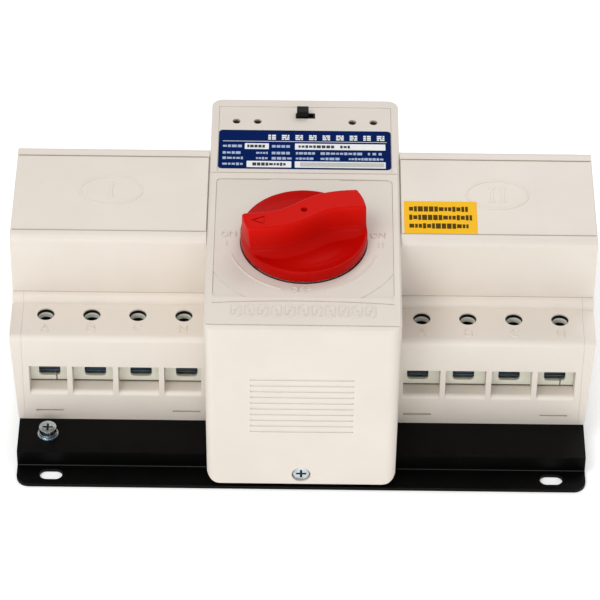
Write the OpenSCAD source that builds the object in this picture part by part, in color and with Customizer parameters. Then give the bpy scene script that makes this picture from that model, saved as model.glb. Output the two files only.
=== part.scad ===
// Dual-source transfer switch: two four-pole switch units side by side on one steel plate,
// thrown by one rotary handle or by a gear motor under the centre cover.
// Lengths are millimetres. X runs across the poles, Y from front to back, Z up from the panel.

/* [Poles] */
// Distance between neighbouring poles
pole_pitch = 18; // [17.5:0.1:19]
// Poles in each switch unit
pole_count = 4; // [2:1:4]
// Clear width of one pole cell
cell_w = 15.6; // [14:0.1:15.8]

/* [Base plate] */
// Width of the base plate
plate_w = 223.5; // [200:0.5:228]
// Depth of the base plate over both flanges
plate_d = 145; // [144:0.5:150]
// Thickness of the sheet
sheet_t = 1.5; // [1:0.1:1.6]
// Height of the raised shelf
shelf_z = 8.7; // [8.5:0.1:9]
// Half depth of the raised shelf
shelf_half = 62; // [61.5:0.1:62]
// Corner radius of the flanges
flange_r = 5; // [2:0.5:8]
// Distance between fixing slots across the width
slot_dx = 196.5; // [190:0.5:204]
// Distance between fixing slots across the depth
slot_dy = 134; // [132:0.5:136]
// Width of a fixing slot
slot_w = 5.5; // [4.5:0.1:6]
// Overall length of a fixing slot
slot_l = 9; // [7:0.5:12]

/* [Switch units] */
// Y of the front face of a unit
unit_front = -43.3; // [-44:0.1:-43]
// Depth of a unit
unit_d = 99.6; // [99:0.1:100]
// Height of the terminal shoulder
shoulder_z = 52.5; // [52:0.1:53]
// Edge radius of the terminal shoulder
shoulder_r = 2.4; // [0.5:0.1:3]
// Rise from the shoulder to the foot of the nose
ledge_h = 3.5; // [2:0.1:3.6]
// Depth of the raised nose
nose_d = 55.3; // [52:0.1:56]
// Height of the top of the nose
nose_z = 84.3; // [84:0.1:85]
// Edge radius of the nose
nose_r = 3; // [1:0.1:3.5]
// Thickness of the outer end cap
cap_t = 4.5; // [3:0.1:4.5]
// Inward taper of the end cap at its foot
cap_taper = 2; // [0:0.1:2.2]
// Thickness of the moulded walls
wall = 2; // [1.6:0.1:2]
// Depth of the top plate set into the nose
top_plate_d = 45; // [40:0.5:46]
// Thickness of the top plates
top_plate_t = 0.9; // [0.6:0.1:1]

/* [Terminals] */
// Lowest point of a wire entry
entry_z0 = 23.6; // [23.4:0.1:24]
// Height of a wire entry
entry_h = 13.6; // [13:0.1:13.8]
// Depth of the wire entry in front of the guard
entry_d = 6.6; // [6.2:0.1:7.8]
// Radius of the lip at the foot of a wire entry
lip_r = 1.9; // [0.5:0.1:2.2]
// Width of the window in the guard
window_w = 8.4; // [8:0.1:8.6]
// Shift of the guard windows towards the cover
window_dx = 1; // [0:0.1:1.2]
// Distance from a unit's face to the clamp screws
screw_in = 13.6; // [13.4:0.1:13.8]
// Radius of the screwdriver holes
driver_r = 3.4; // [3.2:0.1:3.6]

/* [Centre cover] */
// Half width of the centre cover at the top
cover_half = 37.5; // [37:0.1:38]
// Half width of the centre cover at the foot
cover_foot = 36.7; // [36.5:0.1:37]
// Y of the cover's front face
cover_front = -72.5; // [-73:0.1:-72]
// Y of the cover's back face
cover_back = 65.1; // [64.5:0.1:66]
// Height of the cover's lower edge at the front
cover_z0 = 3.2; // [2.5:0.1:4]
// Height of the cover's top
cover_z = 86; // [86:0.1:86.5]
// Corner radius of the cover seen from above
cover_r = 4.5; // [3:0.1:6]
// Y where the top starts to slope down to the back
fold_y = 18.3; // [17.5:0.1:18.5]
// Slope of the rear panel in degrees
rear_slope = 2; // [1:0.5:3]
// Number of vent grooves on the front
vent_count = 10; // [4:1:12]
// Distance between vent grooves
vent_pitch = 3.05; // [2.5:0.05:3.2]
// Half width of the vent grooves
vent_half = 19.8; // [10:0.1:24]

/* [Handle and drive] */
// Y of the handle axis
axis_y = -22.6; // [-23:0.1:-22]
// Radius of the handle disc
disc_r = 24.5; // [20:0.1:26]
// Height of the handle disc
disc_h = 4.9; // [4:0.1:6]
// Height of the top of the grip
grip_z = 102; // [98:0.5:104]
// Teeth on the drive gear
gear_teeth = 48; // [48:1:48]
// Teeth on the motor pinion
motor_teeth = 16; // [16:1:16]
// Teeth on the rack pinion
rack_teeth = 12; // [12:1:12]
// Module of the drive gears
gear_m = 1; // [1:0.1:1]
// Module of the rack and its pinion
rack_m = 0.75; // [0.75:0.01:0.75]
// Swing of the toggles in degrees
toggle_swing = 40; // [40:1:40]
// Swing of the contact arms in degrees
arm_swing = 15; // [12:1:15]

/* [Hidden] */
$fn = 64;

unit_x0 = cover_half + 0.2;
unit_x1 = cover_half + pole_count * pole_pitch;
cap_x0 = unit_x1 + 0.05;
cap_x1 = unit_x1 + cap_t;
pole_x = [for (i = [0 : pole_count - 1]) cover_half + pole_pitch * (i + 0.5)];
unit_back = unit_front + unit_d;
mid_y = (unit_front + unit_back) / 2;
nose_f = mid_y - 26.8;
nose_b = nose_f + nose_d;
ledge_z = shoulder_z + ledge_h;
cell_half = cell_w / 2;
guard_t = 1.5;
guard_y = unit_front + entry_d;
chamber_y0 = guard_y + guard_t;
chamber_y1 = unit_front + 21.3;
room_y0 = chamber_y1 + 2;
clamp_y = unit_front + screw_in;
pivot_z = 58;
rack_r = rack_m * rack_teeth / 2;
rack_travel = rack_r * PI;
tie_r = rack_travel / 2 / sin(toggle_swing / 2);
tie_rod_r = 1.5;
arm_y = mid_y + 9.5;
arm_z = 36;
motor_y = axis_y + gear_m * (gear_teeth + motor_teeth) / 2;
roof_z = cover_z - 2.5;
slope_drop = tan(rear_slope);
led_y = 51.1;
led_z = cover_z - (led_y - fold_y) * slope_drop;
rack_z0 = 64.2;
rack_z1 = 68.2;
board_z = 76;

function cell_in(i) = i == 0 ? 6.9 : 8.3;
function cell_out(i) = i == pole_count - 1 ? 6.5 : 7.6;

ivory = [0.88, 0.85, 0.80];
insert_ivory = [0.86, 0.86, 0.82];
zinc = [0.62, 0.66, 0.70];
steel = [0.70, 0.71, 0.73];
copper = [0.72, 0.45, 0.28];
black = [0.07, 0.07, 0.065];
red = [0.72, 0.06, 0.04];

// ---------- shared shapes ----------

module rrect(w, h, r) {
    square([w - 2 * r, h], center = true);
    square([w, h - 2 * r], center = true);
    for (sx = [-1, 1], sy = [-1, 1])
        translate([sx * (w / 2 - r), sy * (h / 2 - r)])
            circle(r = r);
}

module along_x(x0, x1) {
    translate([x0, 0, 0])
        rotate([90, 0, 90])
            linear_extrude(height = x1 - x0)
                children();
}

module along_y(y0, y1) {
    translate([0, y1, 0])
        rotate([90, 0, 0])
            linear_extrude(height = y1 - y0)
                children();
}

module box(a, b) {
    translate(a)
        cube([b[0] - a[0], b[1] - a[1], b[2] - a[2]]);
}

module rod_x(x0, x1, y, z, r) {
    translate([x0, y, z])
        rotate([0, 90, 0])
            cylinder(h = x1 - x0, r = r);
}

module rod_y(y0, y1, x, z, r) {
    translate([x, y0, z])
        rotate([-90, 0, 0])
            cylinder(h = y1 - y0, r = r);
}

module rod_z(z0, z1, x, y, r) {
    translate([x, y, z0])
        cylinder(h = z1 - z0, r = r);
}

// Right-hand parts are drawn at +X and mirrored for the left-hand unit.
module sided(s) {
    if (s < 0)
        mirror([1, 0, 0])
            children();
    else
        children();
}

// Front terminals are drawn once and mirrored for the back ones.
module both_ends() {
    children();
    translate([0, 2 * mid_y, 0])
        mirror([0, 1, 0])
            children();
}

module at_poles() {
    for (x = pole_x)
        translate([x, 0, 0])
            children();
}

// Puts shapes on the sloped rear panel: local Y runs down the slope, local Z is its normal.
module on_slope() {
    translate([0, fold_y, cover_z])
        rotate([-rear_slope, 0, 0])
            children();
}

module cross_recess(r, depth) {
    translate([-r, -0.45, -depth])
        cube([2 * r, 0.9, depth + 1]);
    translate([-0.45, -r, -depth])
        cube([0.9, 2 * r, depth + 1]);
}

function inv_deg(rb, r) = tan(acos(rb / r)) * 180 / PI - acos(rb / r);
function half_tooth(m, z, k, r) =
    k * 180 / z + inv_deg(m * z / 2 * cos(20), m * z / 2)
    - inv_deg(m * z / 2 * cos(20), max(r, m * z / 2 * cos(20)));
function polar(r, a) = [r * cos(a), r * sin(a)];
function tooth(m, z, k, a, rf, ra) = concat(
    [for (i = [0 : 4]) polar(rf + (ra - rf) * i / 4, a - half_tooth(m, z, k, rf + (ra - rf) * i / 4))],
    [for (i = [0 : 4]) polar(ra - (ra - rf) * i / 4, a + half_tooth(m, z, k, ra - (ra - rf) * i / 4))]
);

module gear_outline(m, z, k, rf, ra, phase) {
    polygon([for (t = [0 : z - 1]) for (p = tooth(m, z, k, phase + t * 360 / z, rf, ra)) p]);
}

// ---------- base ----------

module slot_outline() {
    square([slot_l - slot_w, slot_w], center = true);
    for (s = [-1, 1])
        translate([s * (slot_l - slot_w) / 2, 0])
            circle(r = slot_w / 2);
}

module base_screw_spots() {
    for (s = [-1, 1]) {
        for (x = [pole_x[0] + pole_pitch / 2, pole_x[2] + pole_pitch / 2], y = [-30, 2 * mid_y + 30])
            translate([s * x, y, 0])
                children();
        for (y = [-40, 20])
            translate([s * 30.5, y, 0])
                children();
    }
}

module base_plate() {
    color(black)
    difference() {
        union() {
            linear_extrude(height = sheet_t)
                difference() {
                    rrect(plate_w, plate_d, flange_r);
                    square([plate_w + 2, 2 * (shelf_half - sheet_t)], center = true);
                    for (sx = [-1, 1], sy = [-1, 1])
                        translate([sx * slot_dx / 2, sy * slot_dy / 2])
                            slot_outline();
                }
            box([-plate_w / 2, -shelf_half, shelf_z - sheet_t], [plate_w / 2, shelf_half, shelf_z]);
            for (s = [-1, 1])
                translate([0, s * (shelf_half - sheet_t / 2), shelf_z / 2])
                    cube([plate_w, sheet_t, shelf_z], center = true);
            box([-8, -shelf_half, 2], [8, -shelf_half + sheet_t, 14.5]);
            box([12, shelf_half - 1.6, shelf_z - 1], [28, shelf_half - 0.1, 20]);
        }
        base_screw_spots()
            rod_z(shelf_z - sheet_t - 1, shelf_z + 1, 0, 0, 1.6);
        rod_z(shelf_z - sheet_t - 1, shelf_z + 1, 0.5 - pole_x[3], -52.2, 2);
        rod_y(-shelf_half - 1, -shelf_half + sheet_t + 0.6, 0, 8.2, 1.5);
        rod_y(shelf_half - 3, shelf_half + 1, 20, 14, 1.5);
    }
}

module base_screws() {
    color(zinc)
    base_screw_spots()
        difference() {
            union() {
                rod_z(shelf_z - sheet_t - 1.8, shelf_z - sheet_t, 0, 0, 2.8);
                rod_z(shelf_z - sheet_t - 0.5, shelf_z + 7.5, 0, 0, 1.45);
            }
            translate([0, 0, shelf_z - sheet_t - 1.8])
                mirror([0, 0, 1])
                    cross_recess(1.7, 1);
        }
}

module earth_screw() {
    color(zinc)
    translate([0.5 - pole_x[3], -52.2, shelf_z]) {
        difference() {
            cylinder(h = 0.8, r = 4.1);
            rod_z(-1, 2, 0, 0, 2.1);
        }
        translate([0, 0, 0.85])
            difference() {
                cylinder(h = 1, r = 3.6);
                rod_z(-1, 2, 0, 0, 2.1);
                box([0, -0.3, -1], [5, 0.3, 2]);
            }
        difference() {
            union() {
                rod_z(1.9, 4.2, 0, 0, 3.4);
                rod_z(-6.5, 2, 0, 0, 1.95);
            }
            translate([0, 0, 4.2])
                cross_recess(2, 1.2);
        }
    }
}

// ---------- switch unit: moulded shell ----------

module unit_outline() {
    translate([unit_front, shelf_z])
        square([unit_d, shoulder_z - shoulder_r - shelf_z]);
    translate([unit_front + shoulder_r, shelf_z])
        square([unit_d - 2 * shoulder_r, shoulder_z - shelf_z]);
    for (y = [unit_front + shoulder_r, unit_back - shoulder_r])
        translate([y, shoulder_z - shoulder_r])
            circle(r = shoulder_r);
    translate([nose_f, shelf_z])
        square([nose_d, ledge_z - shelf_z]);
    for (y = [nose_f, nose_b])
        translate([y, shoulder_z])
            circle(r = ledge_h);
}

module lip() {
    difference() {
        translate([-1, -lip_r])
            square([lip_r + 1, lip_r + 0.1]);
        translate([lip_r, -lip_r])
            circle(r = lip_r);
    }
}

module front_cuts() {
    for (i = [0 : pole_count - 1])
        translate([pole_x[i], 0, 0]) {
            box([-cell_in(i), unit_front - 1, entry_z0], [cell_out(i), chamber_y0, entry_z0 + entry_h]);
            along_x(-cell_in(i), cell_out(i))
                translate([unit_front, entry_z0])
                    lip();
        }
    at_poles() {
        box([-7, chamber_y0 - 0.1, entry_z0 - 0.4], [7, chamber_y1, 47]);
        rod_z(46, shoulder_z + 1, 0, clamp_y, driver_r);
        box([-4.2, chamber_y1 - 1, 37.2], [4.2, room_y0 + 1, 39.5]);
    }
    for (x = [pole_x[0], pole_x[pole_count - 1]])
        box([x - 6.35, unit_front - 1, 13], [x + 4.55, unit_front + 3, 13.9]);
}

module housing() {
    color(ivory)
    difference() {
        union() {
            along_x(unit_x0, unit_x1)
                unit_outline();
            for (i = [0 : pole_count - 2])
                box([pole_x[i] + cell_half, mid_y - 6, shoulder_z - 2],
                    [pole_x[i + 1] - cell_half, mid_y + 6, pivot_z + 5.5]);
        }
        both_ends()
            front_cuts();
        at_poles() {
            box([-cell_half, room_y0, shelf_z + 2], [cell_half, 2 * mid_y - room_y0, 50]);
            box([-cell_half, nose_f + 2.1, 49], [cell_half, nose_b - 2.1, 70]);
        }
        for (i = [0 : pole_count - 2]) {
            box([pole_x[i] + cell_half - 1, nose_f + 2.1, shoulder_z - 0.5],
                [pole_x[i + 1] - cell_half + 1, mid_y - 6, 70]);
            box([pole_x[i] + cell_half - 1, mid_y + 6, shoulder_z - 0.5],
                [pole_x[i + 1] - cell_half + 1, nose_b - 2.1, 70]);
        }
        rod_x(pole_x[0], pole_x[3], mid_y, pivot_z, 2.06);
        rod_x(pole_x[0], pole_x[3], arm_y, arm_z, 3.06);
        for (x = [pole_x[0] + pole_pitch / 2, pole_x[2] + pole_pitch / 2], y = [-30, 2 * mid_y + 30])
            rod_z(shelf_z - 1, shelf_z + 8, x, y, 1.5);
    }
}

module end_cap() {
    color(ivory)
    difference() {
        along_x(cap_x0, cap_x1)
            unit_outline();
        along_y(unit_front - 1, unit_back + 1)
            polygon([
                [cap_x1, shoulder_z],
                [cap_x1 - cap_taper, shelf_z - 1],
                [cap_x1 + 3, shelf_z - 1],
                [cap_x1 + 3, shoulder_z]
            ]);
    }
}

module nose_outline() {
    translate([nose_f, ledge_z])
        square([nose_d, nose_z - nose_r - ledge_z]);
    translate([nose_f + nose_r, ledge_z])
        square([nose_d - 2 * nose_r, nose_z - ledge_z]);
    for (y = [nose_f + nose_r, nose_b - nose_r])
        translate([y, nose_z - nose_r])
            circle(r = nose_r);
}

module nose_cover() {
    color(ivory)
    difference() {
        along_x(unit_x0, cap_x1)
            nose_outline();
        box([unit_x0 + wall, nose_f + wall, ledge_z - 1], [cap_x1 - wall, nose_b - wall, nose_z - 2.6]);
        box([unit_x0 - 1, mid_y - top_plate_d / 2, nose_z - top_plate_t],
            [cap_x1 + 1, mid_y + top_plate_d / 2, nose_z + 1]);
        box([unit_x0 - 1, mid_y - rack_travel / 2 - 2.2, 75.3],
            [unit_x0 + wall + 1, mid_y + rack_travel / 2 + 2.2, 80.9]);
    }
}

module oval(w, h) {
    polygon([for (a = [0 : 7.5 : 359]) [w / 2 * cos(a), h / 2 * sin(a)]]);
}

module top_plate(s) {
    color(ivory) {
        box([unit_x0 + 0.3, mid_y - top_plate_d / 2 + 0.15, nose_z - top_plate_t],
            [cap_x1 - 0.3, mid_y + top_plate_d / 2 - 0.15, nose_z - 0.1]);
        translate([(unit_x0 + cap_x1) / 2, mid_y + 1.3, nose_z - 0.2]) {
            difference() {
                linear_extrude(height = 0.4)
                    difference() {
                        oval(25, 17.4);
                        oval(23.6, 16);
                    }
                if (s > 0)
                    box([-20, -30, 0.1], [-8.2, -4.1, 1]);
            }
            for (x = s < 0 ? [0] : [-2.2, 2.2])
                translate([x, 0, 0.2]) {
                    cube([1.1, 8.7, 0.4], center = true);
                    for (y = [-4, 4])
                        translate([0, y, 0])
                            cube([2.8, 0.7, 0.4], center = true);
                }
        }
    }
}

// ---------- switch unit: terminals ----------

module guards(slit_x) {
    color(insert_ivory)
    difference() {
        both_ends()
            for (i = [0 : pole_count - 1])
                translate([pole_x[i], 0, 0])
                    difference() {
                        box([-cell_in(i) + 0.05, guard_y, entry_z0 + 0.5],
                            [cell_out(i) - 0.05, chamber_y0 - 0.02, entry_z0 + entry_h - 0.05]);
                        along_y(guard_y - 1, chamber_y0 + 1)
                            translate([-window_dx, entry_z0 + 2.7 + 4.7])
                                rrect(window_w, 9.4, 1.5);
                        along_y(guard_y - 1, chamber_y0 + 1)
                            translate([-window_dx - window_w / 2, entry_z0 + 8])
                                square([window_w, 4.8]);
                    }
        translate([pole_x[pole_count - 1] + slit_x, 0, 0])
            box([-0.2, guard_y - 1, entry_z0], [0.2, chamber_y0 + 1, entry_z0 + 4]);
    }
}

module clamps() {
    color(zinc)
    both_ends()
        at_poles()
            difference() {
                box([-6, clamp_y - 4.2, entry_z0 + 2.4], [6, clamp_y + 4.2, 42.5]);
                box([-4.5, clamp_y - 5, entry_z0 + 4.1], [4.5, clamp_y + 5, 39.4]);
                rod_z(39, 43, 0, clamp_y, 2);
            }
}

module terminal_screws() {
    color(zinc)
    both_ends()
        at_poles()
            difference() {
                union() {
                    rod_z(39.2, 44.5, 0, clamp_y, 1.95);
                    rod_z(44, 46.6, 0, clamp_y, 3.1);
                }
                translate([0, clamp_y, 46.6])
                    cross_recess(2, 1.4);
            }
}

// ---------- switch unit: current path ----------

module straps() {
    color(copper)
    at_poles() {
        box([-3.8, clamp_y - 3.3, 37.6], [3.8, room_y0 + 2.8, 39.1]);
        box([-3.8, room_y0 + 1.3, 29], [3.8, room_y0 + 2.8, 38]);
        box([-3.8, room_y0 + 1.3, 29], [3.8, -1, 30.5]);
        rod_z(30, 32, 0, -5, 2.2);
        box([-3.8, 30, 37.6], [3.8, 2 * mid_y - clamp_y + 3.3, 39.1]);
        box([-3.8, 30, 13], [3.8, 31.5, 38]);
    }
}

module contact_arms(angle) {
    color(copper)
    translate([0, arm_y, arm_z])
        rotate([angle, 0, 0]) {
            rod_x(pole_x[0] - 6.5, pole_x[3] + 6.5, 0, 0, 3);
            at_poles() {
                rod_x(-2.5, 2.5, 0, 0, 4.6);
                along_x(-2.5, 2.5)
                    polygon([[0, -2.2], [0, 2.6], [-23.5, 0.4], [-23.5, -2]]);
                rod_z(-3.95, -1.5, 0, -5 - arm_y, 2.2);
            }
        }
}

module arc_chutes() {
    color([0.55, 0.55, 0.56])
    at_poles() {
        for (i = [0 : 5])
            box([-6.6, -16.5, 33 + 2.4 * i], [6.6, -8.6, 34 + 2.4 * i]);
        for (s = [-1, 1])
            translate([s * 6.9, -12.55, 39.5])
                cube([0.8, 7.9, 13], center = true);
    }
}

module magnetic_coils() {
    color([0.62, 0.30, 0.16])
    at_poles()
        difference() {
            union() {
                for (i = [0 : 7])
                    rod_y(0.4 + 2 * i, 1.8 + 2 * i, 0, 19, 6.4);
                rod_y(0, 16, 0, 19, 5.2);
                box([-5, -1, shelf_z + 2], [5, 0.6, 25]);
            }
            rod_y(-2, 17, 0, 19, 2);
        }
}

module bimetals() {
    color([0.66, 0.60, 0.50])
    at_poles() {
        box([-3, 27, shelf_z + 2], [3, 28.2, 46]);
        box([-4, 24.5, shelf_z + 2], [4, 28.2, 13]);
    }
}

// ---------- switch unit: toggles ----------

module toggles(angle) {
    color(black)
    translate([0, mid_y, pivot_z])
        rotate([angle, 0, 0])
            at_poles()
                along_x(-3, 3)
                    difference() {
                        union() {
                            circle(r = 4.6);
                            translate([0, tie_r])
                                circle(r = 2.7);
                            polygon([[-3.4, 0], [3.4, 0], [2.5, tie_r], [-2.5, tie_r]]);
                        }
                        circle(r = 2.01);
                        translate([0, tie_r])
                            circle(r = tie_rod_r + 0.01);
                    }
}

module toggle_shaft() {
    color(steel)
    rod_x(pole_x[0] - 6, pole_x[3] + 6, mid_y, pivot_z, 2);
}

module tie_bar(angle) {
    color(steel)
    translate([0, mid_y, pivot_z])
        rotate([angle, 0, 0])
            rod_x(30.4, pole_x[3] + 6, 0, tie_r, tie_rod_r);
}

// ---------- centre: racks and gears ----------

module rack_outline(y0, y1, teeth_y0, teeth_n) {
    p = rack_m * PI;
    t = 0.46 * p / 2;
    translate([rack_r + 1.25 * rack_m, y0])
        square([10 - rack_r - 1.25 * rack_m, y1 - y0]);
    for (i = [0 : teeth_n - 1])
        translate([0, teeth_y0 + i * p])
            polygon([
                [rack_r + 1.3 * rack_m, -t - 1.25 * rack_m * tan(20)],
                [rack_r + 1.3 * rack_m, t + 1.25 * rack_m * tan(20)],
                [rack_r - 0.65 * rack_m, t - 0.65 * rack_m * tan(20)],
                [rack_r - 0.65 * rack_m, -t + 0.65 * rack_m * tan(20)]
            ]);
}

module rack(rod_y0, bar_y0, teeth_y0) {
    color(steel)
    union() {
        translate([0, 0, rack_z0])
            linear_extrude(height = rack_z1 - rack_z0)
                rack_outline(bar_y0, rod_y0 + 4, teeth_y0, 10);
        box([9, rod_y0 - 4, rack_z0], [33.9, rod_y0 + 4, rack_z1]);
        for (s = [-1, 1])
            translate([32.4, rod_y0 + s * 3, (rack_z1 + 80) / 2])
                cube([3, 2.2, 80 - rack_z1 + 1], center = true);
    }
}

module left_rack() {
    p = rack_m * PI;
    sided(-1)
        rack(mid_y + rack_travel / 2, axis_y - 6, axis_y - p / 2 - p);
}

module right_rack() {
    p = rack_m * PI;
    rack(mid_y - rack_travel / 2, axis_y - rack_travel - 5, axis_y + p / 2 - 8 * p);
}

module drive_shaft() {
    color(steel)
    difference() {
        union() {
            rod_z(58.5, 71.5, 0, axis_y, 2.5);
            rod_z(71, 91.9, 0, axis_y, 4);
        }
        rod_z(84, 93, 0, axis_y, 1.3);
    }
}

module drive_gear() {
    color([0.85, 0.83, 0.78])
    translate([0, axis_y, 72])
        difference() {
            union() {
                linear_extrude(height = 4)
                    gear_outline(gear_m, gear_teeth, 0.47, 22.9, 24.8, 0);
                cylinder(h = 5, r = 8);
            }
            translate([0, 0, -1])
                cylinder(h = 8, r = 4.01);
            for (a = [45 : 90 : 315])
                rotate([0, 0, a])
                    translate([15.5, 0, -1])
                        cylinder(h = 7, r = 4);
        }
}

module rack_pinion() {
    color(steel)
    translate([0, axis_y, 64.6])
        difference() {
            linear_extrude(height = 5)
                gear_outline(rack_m, rack_teeth, 0.46, 3.82, 5.1, 0);
            translate([0, 0, -1])
                cylinder(h = 8, r = 2.51);
        }
}

module motor_pinion() {
    color([0.75, 0.62, 0.35])
    translate([0, motor_y, 0]) {
        translate([0, 0, 71.8])
            linear_extrude(height = 4.6)
                gear_outline(gear_m, motor_teeth, 0.47, 6.9, 8.8, 180 / motor_teeth);
        rod_z(52, 77, 0, 0, 1.5);
    }
}

module gear_motor() {
    color(steel)
    translate([0, motor_y, 0])
        difference() {
            union() {
                rod_z(42, 61.9, 0, 0, 12.4);
                rod_z(20, 42.5, 0, 0, 11.6);
                rod_z(17.5, 20.5, 0, 0, 4);
                rod_z(61, 63.6, 0, 0, 4.5);
                for (s = [-1, 1])
                    box([s * 6 - 0.4, -1.5, 14.5], [s * 6 + 0.4, 1.5, 20.5]);
            }
            rod_z(51, 65, 0, 0, 1.56);
        }
}

module shaft_bushes() {
    color([0.72, 0.56, 0.30])
    translate([0, axis_y, 0]) {
        difference() {
            union() {
                rod_z(59.6, 64.1, 0, 0, 4.4);
                rod_z(59.6, 61.9, 0, 0, 6);
            }
            rod_z(58, 66, 0, 0, 2.56);
        }
        difference() {
            union() {
                rod_z(77.4, 82.4, 0, 0, 6);
                rod_z(77.4, 78.9, 0, 0, 7.5);
            }
            rod_z(76, 84, 0, 0, 4.06);
        }
    }
}

// ---------- centre: frame ----------

spacer_spots = [[-22, -45], [22, -45], [-22, 24], [22, 24]];

module lower_frame() {
    color([0.66, 0.67, 0.69])
    difference() {
        union() {
            box([-27, -49, 62], [27, 28, 64]);
            for (s = [-1, 1]) {
                translate([s * 26.25, -10.5, (shelf_z + 64) / 2])
                    cube([1.5, 77, 64 - shelf_z], center = true);
                for (y = [-40, 20])
                    translate([s * 29.75, y, shelf_z + 0.75])
                        cube([8.5, 11, 1.5], center = true);
                translate([s * 11.1, -26.5, 65.3])
                    cube([2, 37, 3.4], center = true);
            }
        }
        for (s = [-1, 1]) {
            translate([s * 26.25, -10.5, 38])
                cube([4, 48, 34], center = true);
            for (y = [-40, 20])
                rod_z(shelf_z - 1, shelf_z + 3, s * 30.5, y, 1.5);
        }
        rod_z(61, 65, 0, axis_y, 4.42);
        rod_z(61, 65, 0, motor_y, 4.6);
        for (p = spacer_spots)
            rod_z(61, 65, p[0], p[1], 1.5);
    }
}

module upper_frame_plate() {
    color([0.66, 0.67, 0.69])
    difference() {
        translate([0, -10.5, 79])
            linear_extrude(height = 1.5)
                rrect(54, 77, 4);
        rod_z(78, 82, 0, axis_y, 6.02);
        rod_z(78, 82, 0, motor_y, 3);
        for (p = spacer_spots)
            rod_z(78, 82, p[0], p[1], 1.5);
    }
}

module frame_spacers() {
    color(zinc)
    for (p = spacer_spots)
        difference() {
            rod_z(64, 79, p[0], p[1], 3);
            rod_z(63, 80, p[0], p[1], 1.5);
        }
}

module frame_screws() {
    color(zinc)
    for (p = spacer_spots) {
        translate([p[0], p[1], 80.5])
            short_screw();
        translate([p[0], p[1], 62])
            mirror([0, 0, 1])
                short_screw();
    }
}

module short_screw() {
    difference() {
        union() {
            cylinder(h = 1.7, r = 2.8);
            rod_z(-6.5, 0.5, 0, 0, 1.45);
        }
        translate([0, 0, 1.7])
            cross_recess(1.7, 1);
    }
}

// ---------- centre: handle ----------

function grip_mid(x) = 6.1 * sin(90 * x / disc_r);
function grip_half(x) = 4.5 + x / 49;
grip_xs = [for (i = [-10 : 10]) i * 2.6];

module rotary_handle() {
    color(red)
    translate([0, axis_y, 0])
        difference() {
            union() {
                rod_z(cover_z + 0.2, cover_z + disc_h, 0, 0, disc_r);
                intersection() {
                    rod_z(cover_z + 1, grip_z, 0, 0, disc_r);
                    translate([0, 0, cover_z + 1])
                        linear_extrude(height = grip_z - cover_z - 1)
                            polygon(concat(
                                [for (x = grip_xs) [x, grip_mid(x) - grip_half(x)]],
                                [for (i = [0 : 20]) [-grip_xs[i], grip_half(-grip_xs[i]) + grip_mid(-grip_xs[i])]]
                            ));
                }
            }
            rod_z(cover_z - 1, 92, 0, 0, 4.02);
            rod_z(91, grip_z + 1, 0, 0, 1.3);
            translate([-17, -4.9, grip_z - 0.35])
                linear_extrude(height = 1)
                    difference() {
                        polygon([[-2.6, 0], [2.2, 2.4], [2.2, -2.4]]);
                        polygon([[-1.4, 0], [1.6, 1.5], [1.6, -1.5]]);
                    }
        }
}

module handle_screw() {
    color(zinc)
    translate([0, axis_y, 0])
        difference() {
            rod_z(84.5, 99.6, 0, 0, 1.25);
            box([-2, -0.25, 98.7], [2, 0.25, 100]);
        }
}

// ---------- centre: cover ----------

module cover_side() {
    translate([cover_front + 3, cover_z - 3])
        circle(r = 3);
    polygon([
        [cover_front, cover_z0],
        [cover_back, cover_z0],
        [cover_back, cover_z - (cover_back - fold_y) * slope_drop],
        [fold_y, cover_z],
        [cover_front + 3, cover_z],
        [cover_front, cover_z - 3]
    ]);
}

module cover_face() {
    for (s = [-1, 1]) {
        translate([s * (cover_foot - 5.45), cover_z0 + 5.5])
            circle(r = 5.5);
        translate([s * (cover_half - 1.5), cover_z - 1.5])
            circle(r = 1.5);
    }
    polygon([
        [-cover_foot + 5.45, cover_z0],
        [cover_foot - 5.45, cover_z0],
        [cover_foot + 0.05, cover_z0 + 5.5],
        [cover_half, cover_z - 1.5],
        [cover_half - 1.5, cover_z],
        [-cover_half + 1.5, cover_z],
        [-cover_half, cover_z - 1.5],
        [-cover_foot - 0.05, cover_z0 + 5.5]
    ]);
}

module led_spots() {
    for (x = [-27.5, -19, 19, 27.5])
        translate([x, led_y, 0])
            children();
}

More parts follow.
